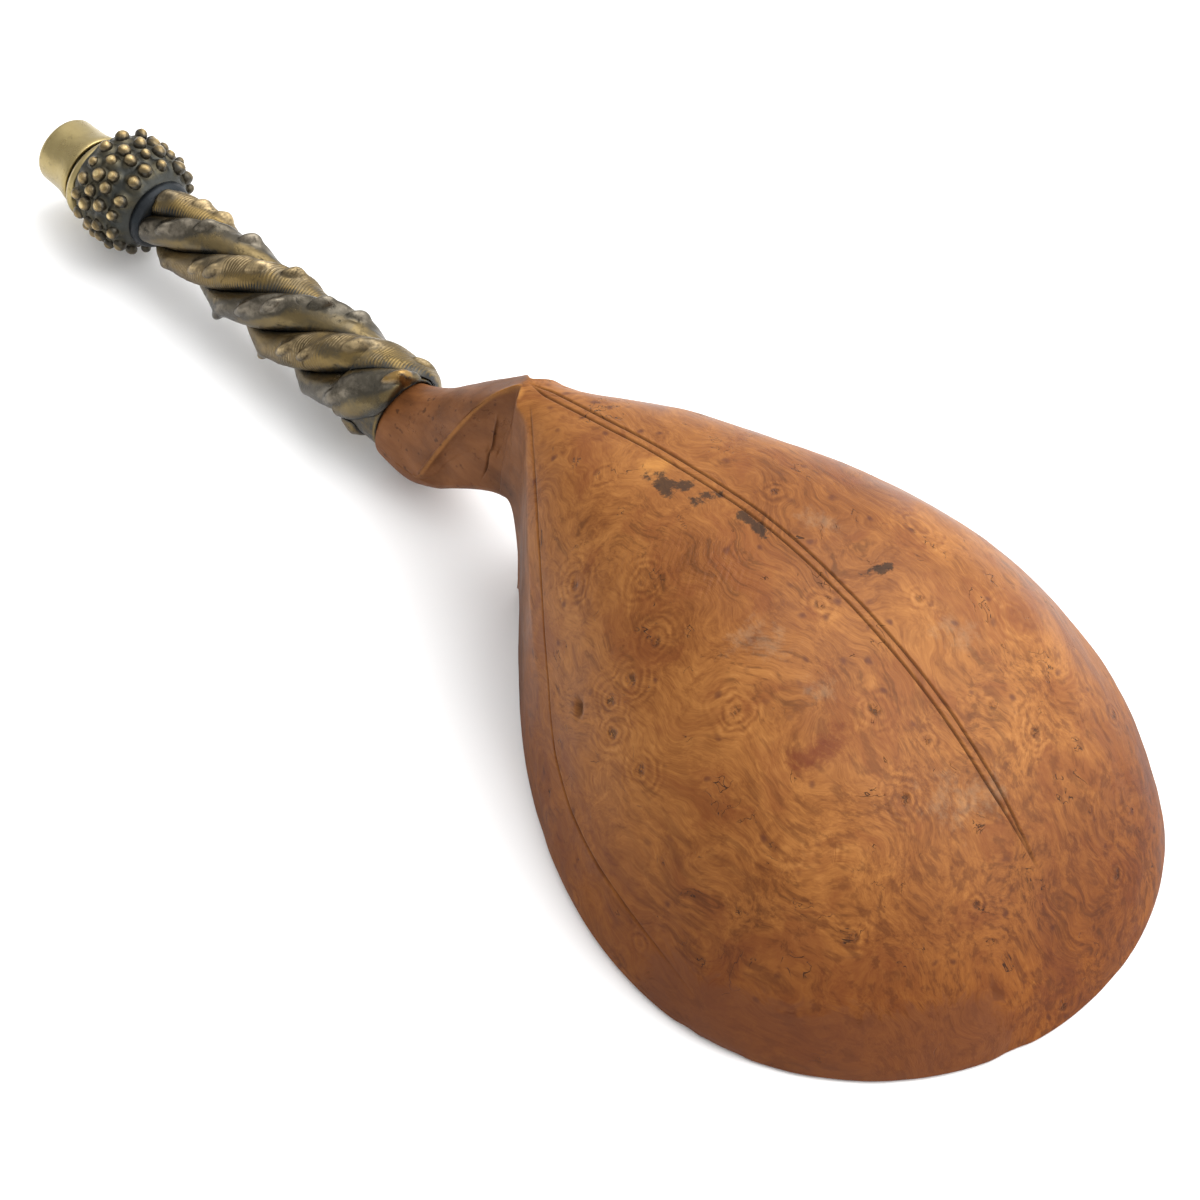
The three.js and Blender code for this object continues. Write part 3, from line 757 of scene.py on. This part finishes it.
# Where the neck runs on inside the ferrule: distance past its last section, and scale.
NECK_END = ((0.25, 0.99), (0.3, 0.8), (4.5, 0.78), (4.6, 0.4), (4.6, 0.01))


def outer_grid(stations):
    """The outer surface row by row, and how far its points lie from the border line and the crease."""
    rows, borders, creases = [], [], []
    for x in stations:
        y, z, arc = section(x)
        columns, border, crease = placed_columns(x, y, arc)
        rows.append(whole_row(x, columns, y, z, arc))
        borders.append(both_sides(columns - border))
        creases.append(both_sides(columns - crease))
    outer, from_border, from_crease = np.array(rows), np.array(borders), np.array(creases)
    x = outer[..., 0]
    peak = bell(np.linalg.norm(outer - (0, 0, PEAK_HEIGHT), axis=-1), PEAK_SOFTNESS)
    fold = bell(from_crease, 0.35) * smoothstep(-16, -13, x) * smoothstep(20, 12, x)
    share = np.clip(np.maximum(peak * 1.5, fold * 0.5), 0, 1)
    return relaxed(outer, share, RELAX_ROUNDS), from_border, from_crease


def cut_lines(outer, from_border, from_crease):
    """Two lines along the keel with lips beside them, a line inside each edge, and the crack by the peak."""
    x, y, z = outer[..., 0], outer[..., 1], outer[..., 2]
    reach = smoothstep(0.2, 3, x) * smoothstep(74.5, 73, x)
    apart = 0.5 * smoothstep(0.3, 4, x) * smoothstep(75, 66, x)
    keel = bell(np.abs(y) - apart, 0.12) * reach
    lips = bell(np.abs(y) - apart, 0.5) * reach
    border = bell(from_border, 0.14) * smoothstep(2.6, 4.5, x) * smoothstep(60, 50, x)
    border = border * (0.75 + 0.35 * lattice(outer, 5.0, 3))
    crack_x = -2.6 + 0.16 * lattice(outer, 1.6, 5) + 0.05 * (z - 16)
    crack = bell(x - crack_x, 0.10) * smoothstep(-0.1, 0.25, from_crease) * (x < 0.5)
    crack = crack * smoothstep(11.8, 13, z) * smoothstep(21.5, 18.5, z)
    return keel, lips, border, crack


def weathered(outer, swell):
    """The outer surface moved along its normals, by the given swell and by its own unevenness."""
    normals = grid_normals(outer)
    outward = np.sign(np.sum(normals * (outer - INSIDE_POINT), axis=-1, keepdims=True))
    normals *= np.where(outward == 0, 1, outward)
    uneven = sum(depth * lattice(outer, size, seed) for depth, size, seed in UNEVENNESS)
    x, z = outer[..., 0], outer[..., 2]
    fade = smoothstep(-19, -16.5, x) * smoothstep(0.0, 1.5, z) * smoothstep(83.9, 82, x)
    return outer + normals * ((uneven + swell) * fade)[..., None]


def rim_rounded(outer, stations):
    """The outer surface with a small round on the outer edge of the rim, and the rim's chips."""
    outline = np.stack([stations, half_width(stations)], axis=-1)
    along = np.gradient(outline, axis=0)
    inward = np.stack([along[:, 1], -along[:, 0]], axis=-1)
    inward /= np.linalg.norm(inward, axis=-1, keepdims=True)
    side = np.where(np.arange(outer.shape[1]) < outer.shape[1] // 2, -1, 1)
    inward = np.stack([inward[:, :1] * np.abs(side), inward[:, 1:] * side, np.zeros(outer.shape[:2])], axis=-1)
    drop = np.clip(RIM_ROUND - outer[..., 2], 0, RIM_ROUND)
    tuck = RIM_ROUND - np.sqrt(np.clip(RIM_ROUND ** 2 - drop ** 2, 0, None))
    nibble = 0.07 * np.clip(lattice(outer, 3.0, 21), 0, 1) * smoothstep(1.6, 0.2, outer[..., 2])
    for start, end, radius, depth in RIM_CHIPS:
        nibble += depth * bell(distance_to(outer, start, end), radius)
    outer = outer + inward * ((tuck + nibble) * (stations >= WALL_X)[:, None])[..., None]
    outer[..., 2] = np.maximum(outer[..., 2], 0)
    return outer


def under_neck(outer, stations, heel):
    """Underside of the neck, and the wall below it, from edge to edge, up to the row where the rim begins."""
    reach = (np.sin(np.linspace(-1, 1, INNER_COLUMNS) * np.pi / 2) + 1) / 2
    hang = np.cos(np.linspace(-1, 1, INNER_COLUMNS) * np.pi / 2)
    rows = []
    for x, row in zip(stations[:heel + 1], outer):
        left, right = row[0], row[-1]
        sag = 2.2 + 2.4 * float(smoothstep(9, 15, -x))
        sag *= max(1 - max(x, 0) / WALL_X, 0)
        line = left[None, :] + (right - left)[None, :] * reach[:, None]
        line[:, 2] = np.maximum(line[:, 2] - sag * hang, 0)
        line[0], line[-1] = left, right
        rows.append(line)
    return np.array(rows)


def hollow(stations):
    """The inside of the bowl: a plainer, smaller copy of the outside."""
    rows = []
    for x in stations:
        y, z, arc = section(x)
        rows.append(whole_row(x, np.linspace(0, arc[-1], INNER_COLUMNS // 2 + 1), y, z, arc))
    inner = np.array(rows)
    inner[..., 0] = HOLLOW_CENTRE_X + (inner[..., 0] - HOLLOW_CENTRE_X) * HOLLOW_SCALE
    inner[..., 1] *= HOLLOW_SCALE
    inner[..., 2] *= HOLLOW_HEIGHT
    return inner


def bridged(first, last, rows):
    """Straight rows of points from one line to another."""
    return first[None] + (last - first)[None] * np.linspace(0, 1, rows)[:, None, None]


def neck_end(ring):
    centre = ring.mean(axis=0)
    rows = [ring]
    for step, scale in NECK_END:
        moved = centre + (ring - centre) * scale
        moved[:, 0] = ring[:, 0] - step
        rows.append(moved)
    return np.array(rows)


def make_wood(material):
    stations = wood_stations()
    smooth, from_border, from_crease = outer_grid(stations)
    x, y = smooth[..., 0], smooth[..., 1]
    keel, lips, border, crack = cut_lines(smooth, from_border, from_crease)
    cut = np.clip(np.maximum(np.maximum(keel, border * 0.8), crack), 0, 1)
    eye = np.min([np.linalg.norm(smooth - np.array(centre), axis=-1) for centre in EYES], axis=0)
    pits = marks(smooth, BLACK_PITS)
    swell = 0.05 * lips - 0.26 * keel - 0.20 * border - 0.35 * crack - 0.10 * bell(eye, 0.5) - 0.4 * pits
    outer = rim_rounded(weathered(smooth, swell), stations)

    z = outer[..., 2]
    beyond_crease = smoothstep(-0.35, 0.1, from_crease) * smoothstep(22, 15, x)
    edge_light = bell(from_crease, 0.32) * smoothstep(-12.5, -10.5, x) * smoothstep(1.0, -0.5, x)
    attributes = {name: marks(outer, spots) for name, spots in MARKS.items()}
    attributes["pale"] = np.maximum(attributes["pale"], edge_light * 0.6)
    attributes |= {
        "cut": np.maximum(cut, pits),
        "plain": np.maximum(smoothstep(0.5, -1.0, x), beyond_crease),
        "lip": smoothstep(10.5, 5.0, z) * smoothstep(48, 56, x) * smoothstep(-6, -14, y),
        # Where painted shade darkens the bowl towards its bottom.
        "low": smoothstep(25, 5, z) * smoothstep(2, 10, x),
        "eye": np.minimum(eye, EYE_LIMIT),
    }
    elsewhere = {"plain": 1, "eye": EYE_LIMIT}

    # The underside of the neck, the hollow with its end wall, and the flat rim that joins it to the outside.
    heel = int(np.searchsorted(stations, WALL_X - 1e-6))
    under = under_neck(outer, stations, heel)
    inner = hollow(stations[heel:])
    end_wall = bridged(inner[0] * (1, 1, 0), inner[0], 24)
    grids = [outer, under, inner, end_wall, bridged(under[-1], end_wall[0], 8)]
    grids += [bridged(outer[heel:, side], inner[:, side], 7) for side in (0, -1)]
    # The tip of the rim, where both halves meet.
    columns = outer.shape[1]
    grids.append(np.stack([outer[-1][[0, columns // 2, -1]], inner[-1][[0, INNER_COLUMNS // 2, -1]]]))
    grids.append(neck_end(np.concatenate([outer[0], under[0][::-1][1:-1]])))

    faces, count = [], 0
    for grid in grids:
        faces.append(grid_faces(grid.shape[0], grid.shape[1], count, wrap=grid is grids[-1]))
        count += grid.shape[0] * grid.shape[1]
    points = np.concatenate([grid.reshape(-1, 3) for grid in grids])
    padded = {}
    for key, values in attributes.items():
        padded[key] = np.full(len(points), float(elsewhere.get(key, 0)))
        padded[key][:values.size] = values.reshape(-1)
    add_piece("wood", points, np.concatenate(faces), material, ["spoon_bowl"], padded, 0.002)


# ---- the handle

MOUTH = np.array([-19.3, 0, 7.2])
HANDLE_SLOPE = 0.02
TILT = math.atan(HANDLE_SLOPE)
AXIS = np.array([-math.cos(TILT), 0, math.sin(TILT)])
UPWARD = np.array([math.sin(TILT), 0, math.cos(TILT)])
NEAR = np.array([0.0, -1.0, 0.0])
SLEEVE_LENGTH = 43.2
FERRULE_RADIUS = 4.8
FERRULE_LENGTH = 6.2


def on_handle(along, angle, radius):
    """Points by distance from the mouth, angle from the top towards -Y, and radius from the handle's axis."""
    along, angle, radius = np.broadcast_arrays(along, angle, radius)
    return (
        MOUTH
        + along[..., None] * AXIS
        + (radius * np.cos(angle))[..., None] * UPWARD
        + (radius * np.sin(angle))[..., None] * NEAR
    )


def lathe(name, profile, material, node, segments, wobble=0.0, seed=0, height=0.75, shift=(0, 0, 0)):
    """A closed ring or disc turned round the handle's axis, from (radius, along) points.

    The wobble is the depth of its unevenness, and the height is one number, or one for each point.
    """
    profile = np.array(profile, float)
    angle = np.linspace(0, 2 * np.pi, segments, endpoint=False)
    points = on_handle(profile[:, 1][:, None], angle[None, :], profile[:, 0][:, None])
    if wobble:
        away = points - (MOUTH + profile[:, 1][:, None, None] * AXIS)
        length = np.maximum(np.linalg.norm(away, axis=-1, keepdims=True), 1e-6)
        points = points + away / length * (wobble * lattice(points, 2.2, seed))[..., None] * (length > 0.05)
    points = points + np.array(shift, float)
    values = np.ones(points.shape[:2]) * np.reshape(height, (-1, 1))
    faces = grid_faces(len(points), segments, wrap=True)
    add_piece(name, points, faces, material, [node], {"height": values}, 0.001)


def sleeve_radius(along):
    left = np.clip(1 - along / SLEEVE_LENGTH, 0, None)
    return 4.3 + 1.8 * left ** 1.3


def core_radius(along):
    return 3.5 + (2.4 - 3.5) * along / SLEEVE_LENGTH


BRANCH_LEAD = 35.6
BRANCH_END = SLEEVE_LENGTH + 0.9
BRANCH_HALF = math.radians(45.5)
BRANCH_COLUMNS = 49
FOOT_COLUMNS = 10
CHASED_ROWS = 560
PLAIN_ROWS = 420
# For each branch: direction of its crest at the mouth in degrees, where it starts, and how soon it is full.
BRANCH_CRESTS = [283, 13, 103, 193]
BRANCH_STARTS = [-0.1, -0.4, 3.4, 2.4]
BRANCH_TAPERS = [1.1, 1.1, 2.8, 2.8]
# Twig stubs on each branch: distance along the handle, place across the branch, height and radius.
NODULES = [
    [
        (43.0, 0.1, 0.6, 0.9), (39.4, 0, 0.7, 0.8), (36.9, 0.1, 0.9, 0.9), (30, 0, 0.6, 1), (21, 0, 0.7, 1),
        (15.4, -0.3, 0.9, 0.9), (12.6, 0.1, 0.7, 0.8), (7.6, 0, 0.6, 1.3), (2, 0, 0.4, 1),
    ],
    [
        (39.7, -0.2, 0.7, 0.8), (35.3, -0.2, 0.8, 0.9), (30.6, 0, 0.9, 0.9), (22, 0, 0.6, 1), (15, 0.1, 0.7, 1),
        (6.6, -0.1, 0.5, 1.2), (0.6, -0.3, 0.8, 1.1),
    ],
    [
        (41, 0, 0.6, 0.8), (32.6, -0.3, 0.8, 0.9), (30.2, 0, 0.9, 0.9), (25.8, 0, 0.8, 0.9),
        (22.4, 0, 0.9, 0.9), (13, 0, 0.7, 1), (7.2, 0.1, 0.7, 1),
    ],
    [
        (38, 0, 0.6, 0.9), (29, 0, 0.7, 1), (23.6, -0.2, 0.7, 0.9), (20.2, -0.1, 0.8, 0.9), (15.7, -0.1, 1, 1),
        (12.2, 0, 0.9, 0.9), (6, 0, 0.7, 1),
    ],
]
# The one gilded stub on a silver branch: branch index, distance along the handle, place across and spread.
GILDED_STUB = (1, 0.6, -0.3, 1.3)
RIDGE_PITCH = 0.38
RIDGE_HEIGHT = 0.035
HELIX_COS, HELIX_SIN = 0.72, 0.69


def twig_stubs(number, along, side, reach):
    """Heights of the stubs and of the swellings that trail from them, and how near a place is to a stub."""
    stub, tail, near = (np.zeros(side.shape) for _ in range(3))
    for place, where, height, radius in NODULES[number]:
        d_along = along - place
        d_side = side - where * reach
        forward = -(d_along * HELIX_COS + d_side * HELIX_SIN)
        sideways = d_side * HELIX_COS - d_along * HELIX_SIN
        away = np.hypot(forward, sideways)
        knob = np.sqrt(np.clip(1 - (away / (radius * 1.15)) ** 2, 0, 1))
        stub = np.maximum(stub, 1.12 * height * knob ** 1.3)
        trail = smoothstep(-0.45, 0.1, forward) * smoothstep(6.5, 0.4, forward)
        tail = np.maximum(tail, 0.62 * height * bell(sideways, radius * 1.25) * trail)
        near = np.maximum(near, smoothstep(1.9, 1.2, away / radius))
    return stub, tail, near


def over_foot(values):
    """A branch's values, with zeros for its foot, and its first and last rows again for its ends."""
    whole = np.concatenate([values, np.zeros((len(values), FOOT_COLUMNS))], axis=1)
    return np.concatenate([whole[:1], whole, whole[-1:]])


def gathered(row):
    """The row with all its points at their middle."""
    return np.repeat(row.mean(axis=1, keepdims=True), row.shape[1], axis=1)


def make_branch(number, material, chased):
    start = BRANCH_STARTS[number]
    along = np.linspace(start, BRANCH_END, CHASED_ROWS if chased else PLAIN_ROWS)[:, None]
    across = np.linspace(-1, 1, BRANCH_COLUMNS)[None, :]
    end = np.minimum(along - start, BRANCH_END - along)
    closing = np.sqrt(np.clip(1 - (1 - np.clip(end / BRANCH_TAPERS[number], 0, 1)) ** 2, 0, 1))
    turn = np.radians(BRANCH_CRESTS[number]) + along / BRANCH_LEAD * 2 * np.pi
    half = BRANCH_HALF * (0.6 + 0.4 * closing)
    reach = half * sleeve_radius(along)
    side = across * reach
    base = core_radius(along) + 0.1
    base = np.where(along < FERRULE_LENGTH + 0.4, np.maximum(base, FERRULE_RADIUS + 0.05), base)
    rise = np.maximum(sleeve_radius(along) - base, 0.9)
    # The crest lies towards the upper edge, which drops steeply, and the lower side slopes away.
    lean = across + 0.22 * (1 - across ** 2)
    body = np.clip(1 - np.abs(lean) ** 2.2, 0, 1) ** 0.72

    stub, tail, near_stub = twig_stubs(number, along, side, reach)
    bumps = np.maximum(stub, tail) + 0.25 * np.minimum(stub, tail)
    bumps *= np.clip(1 - np.abs(across) ** 4, 0, 1) * closing
    unrolled = np.stack([along + 0 * across, side, np.full(side.shape, 7.0 * number)], axis=-1)
    uneven = 0.12 * lattice(unrolled, 2.6, 40 + number) + 0.04 * lattice(unrolled, 0.9, 50 + number)
    radius = base + rise * closing * body + bumps + uneven * closing
    height = np.clip((radius - base) / rise, 0, 1) * (1 - 0.42 * smoothstep(0.1, 0.9, across)) + 0.12 * stub
    if chased:
        path = along * 1.30 + 0.9 * across ** 2 + 0.35 * lattice(unrolled, 2.2, 60 + number)
        zone = smoothstep(-0.25, 0.2, lattice(unrolled, 6.0, 70 + number) + 0.25)
        zone = zone * smoothstep(1.0, 0.7, np.abs(across)) * closing * (1 - 0.85 * near_stub)
        ridge = np.sin(path / RIDGE_PITCH * 2 * np.pi)
        radius = radius + RIDGE_HEIGHT * ridge * zone
        height = height + 0.20 * ridge * zone - 0.08 * zone
    gilded = np.zeros(side.shape)
    branch, place, where, spread = GILDED_STUB
    if number == branch:
        gilded = bell(np.hypot(along - place, side - where * reach), spread)
        radius = radius + 0.10 * gilded * lattice(unrolled, 0.7, 81)

    foot = np.linspace(1, -1, FOOT_COLUMNS + 2)[None, 1:-1]
    under = on_handle(along, turn + foot * half, base)
    ring = np.concatenate([on_handle(along, turn + across * half, radius), under], axis=1)
    ring = np.concatenate([gathered(ring[:1]), ring, gathered(ring[-1:])])
    faces = grid_faces(ring.shape[0], ring.shape[1], wrap=True)
    attributes = {"height": over_foot(height), "gilded": over_foot(gilded)}
    add_piece(f"twist_{number + 1}", ring, faces, material, [f"branch_{number + 1}"], attributes, 0.0005)


KNOP_RADIUS = 5.75
KNOP_MIDDLE = 49.5
KNOP_FRONT = 43.4
KNOP_BACK = 60.4
KNOP_START = 44.9
KNOP_END = 53.9
KNOP_HOLE = 1.4
KNOP_ROWS = 120
KNOP_COLUMNS = 400
# Each row of grains: distance along the handle, and number of grains.
GRANULE_ROWS = [(46.4, 15), (48.4, 18), (50.4, 18), (52.4, 16)]
GRANULE_TOP = 1.72
GRANULE_RINGS = 9
GRANULE_COLUMNS = 14


def knop_surface(along):
    half = np.where(along < KNOP_MIDDLE, KNOP_MIDDLE - KNOP_FRONT, KNOP_BACK - KNOP_MIDDLE)
    share = np.clip(np.abs(along - KNOP_MIDDLE) / half, 0, 1)
    return KNOP_RADIUS * np.sqrt(np.clip(1 - share ** 2.2, 0, 1))


def granule_places():
    """Each row's granules as (along, angle, radius)."""
    rng = np.random.default_rng(7)
    rows = []
    for number, (along, count) in enumerate(GRANULE_ROWS):
        turns = (np.arange(count) + 0.5 * (number % 2)) / count * 2 * np.pi
        rows.append([
            (along + rng.uniform(-0.26, 0.26), turn + rng.uniform(-0.06, 0.06), rng.uniform(0.70, 0.94))
            for turn in turns
        ])
    return rows


def knop_skin(places, material):
    """The shell of the knop, swelling into a soft mound round every granule."""
    along = np.linspace(KNOP_START + 0.05, KNOP_END - 0.05, KNOP_ROWS)[:, None]
    angle = np.linspace(0, 2 * np.pi, KNOP_COLUMNS, endpoint=False)[None, :]
    surface = knop_surface(along)
    base = on_handle(along, angle, surface + 0.6)
    mound = np.zeros(base.shape[:2])
    for row in places:
        for at, turn, radius in row:
            centre = on_handle(at, turn, knop_surface(at) + 0.9)
            mound = np.maximum(mound, bell(np.linalg.norm(base - centre, axis=-1), radius * 1.05))
    points = on_handle(along, angle, surface + 0.36 + 0.80 * mound + 0.16 * lattice(base, 1.5, 33))
    hole = [on_handle(np.array([[end]]), angle, KNOP_HOLE) for end in (KNOP_START, KNOP_END)]
    ring = np.concatenate([hole[0], points, hole[1], hole[0]])
    flat = np.zeros((1, KNOP_COLUMNS))
    height = np.concatenate([flat, 0.10 + 0.55 * mound, flat, flat])
    faces = grid_faces(len(ring), KNOP_COLUMNS, wrap=True)
    add_piece("knop", ring, faces, material, ["knop_shell"], {"height": height}, 0.001)


def granule_rows(places, material):
    """The granules, each a little out of round and seated a little differently."""
    rng = np.random.default_rng(8)
    polar = np.linspace(0, np.pi, GRANULE_RINGS)[:, None]
    turn = np.linspace(0, 2 * np.pi, GRANULE_COLUMNS, endpoint=False)[None, :]
    unit = [np.sin(polar) * np.cos(turn), np.sin(polar) * np.sin(turn), np.cos(polar) + 0 * turn]
    unit = np.stack(unit, axis=-1)
    # Colour height on each granule, rising to its top: the bright top is a painted highlight.
    highlight_cap = 0.12 + 0.95 * smoothstep(0.35, 1.0, unit[..., 2])
    for number, row in enumerate(places):
        blocks, faces = [], []
        for i, (at, angle, radius) in enumerate(row):
            seat = knop_surface(at) + GRANULE_TOP - radius - 0.32 * rng.uniform(0, 1) ** 2
            squash = np.array([rng.uniform(0.88, 1.10), rng.uniform(0.88, 1.10), 1.0])
            local = unit * squash * radius
            local = local * (1 + 0.10 * lattice(unit + i * 3.1, 0.9, number))[..., None]
            out = math.cos(angle) * UPWARD + math.sin(angle) * NEAR
            tangent = -math.sin(angle) * UPWARD + math.cos(angle) * NEAR
            centre = MOUTH + at * AXIS + seat * out
            blocks.append(centre + local @ np.array([AXIS, tangent, out]))
            faces.append(grid_faces(GRANULE_RINGS, GRANULE_COLUMNS, i * highlight_cap.size, wrap=True))
        height = {"height": np.tile(highlight_cap.reshape(-1), len(row))}
        points, faces = np.concatenate(blocks), np.concatenate(faces)
        name, replaces = f"grains_{number + 1}", [f"granule_row_{number + 1}"]
        add_piece(name, points, faces, material, replaces, height, 0.0005)


ON_AXIS = 0.001
CORE_START = 6.5
SEAL_SHIFT = -0.8 * UPWARD + 0.7 * NEAR


def make_sleeve(looks):
    for number in range(4):
        chased = number % 2 == 0
        look, slot = ("gilt", "gilt_silver") if chased else ("silver", "worn_silver")
        make_branch(number, looks[look], chased)
    band = [(4.3, 0), (4.62, 0), (4.74, 0.22), (4.76, 0.6), (4.8, 3), (4.78, 6.1), (4.3, 6.1), (4.3, 0)]
    heights = [0.1, 0.15, 0.4, 0.2, 0.15, 0.1, 0.1, 0.1]
    lathe("band", band, looks["gilt"], "neck_ferrule", 120, 0.07, 31, heights)


def make_core(looks):
    """What the branches are wound on, and the cement and the rod inside it."""
    tube = [(core_radius(a), a) for a in np.linspace(CORE_START, SLEEVE_LENGTH, 30)]
    tube = [(2.0, CORE_START), *tube, (1.9, SLEEVE_LENGTH), (2.0, CORE_START)]
    lathe("core", tube, looks["dark"], "core_tube", 64, 0.02, 37, 0.0)
    plug = [(ON_AXIS, 22.4), (1.8, 22.4), (1.75, 35.4), (ON_AXIS, 35.4)]
    lathe("plug", plug, resin(), "cement_plug", 32)
    rod = [(ON_AXIS, 36), (1.1, 36), (1.1, 53.6), (ON_AXIS, 53.6)]
    lathe("rod", rod, looks["dark"], "centre_rod", 32)


def make_knop(looks):
    collar = [(1.4, 43.5), (3.5, 43.5), (4.1, 43.7), (4.4, 44.3), (4.5, 44.8), (1.4, 44.8), (1.4, 43.5)]
    lathe("collar", collar, looks["dark"], "knop_collar", 72, 0.08, 32, 0.1)
    places = granule_places()
    knop_skin(places, looks["shell"])
    granule_rows(places, looks["grain"])


def make_seal(looks):
    """The smooth end of the handle, a little off its axis."""
    rim = [(5.15, 54.1), (5.42, 54.3), (5.54, 54.65), (5.42, 55.05), (5.1, 55.25)]
    rim = [(ON_AXIS, 54.1), *rim, (ON_AXIS, 55.25)]
    lathe("knop_edge", rim, looks["drum"], "knop_rim", 120, 0.03, 34, 0.8, SEAL_SHIFT)
    plate = [(ON_AXIS, 55.4), (4.35, 55.4), (4.4, 55.6), (4.35, 55.85), (ON_AXIS, 55.85)]
    lathe("plate", plate, looks["dark"], "solder_plate", 96, 0.02, 35, 0.1, SEAL_SHIFT)
    outside = [(4.75, 56.02), (4.85, 56.1), (4.84, 56.5), (4.7, 57.2)]
    outside += [(4.52, 58), (4.42, 59), (4.37, 60.4), (4.35, 61.45)]
    edge = [(3.55 + 0.8 * math.cos(a), 61.5 + 0.8 * math.sin(a)) for a in np.linspace(0.05, np.pi / 2, 12)]
    face = [(2.4, 62.3), (1.2, 62.3), (ON_AXIS, 62.3)]
    inside = [(ON_AXIS, 61.6), (3.2, 61.6), (3.65, 61.2), (3.66, 58.5), (4.1, 56.2), (4.2, 56.02)]
    drum = outside + edge + face + inside + outside[:1]
    lathe("seal", drum, looks["drum"], "seal_drum", 144, 0.05, 36, 0.75, SEAL_SHIFT)


def make_handle():
    looks = {name: worn_metal(name) for name in METALS}
    make_sleeve(looks)
    make_core(looks)
    make_knop(looks)
    make_seal(looks)


make_camera()
make_stage()
make_wood(burr_wood())
make_handle()
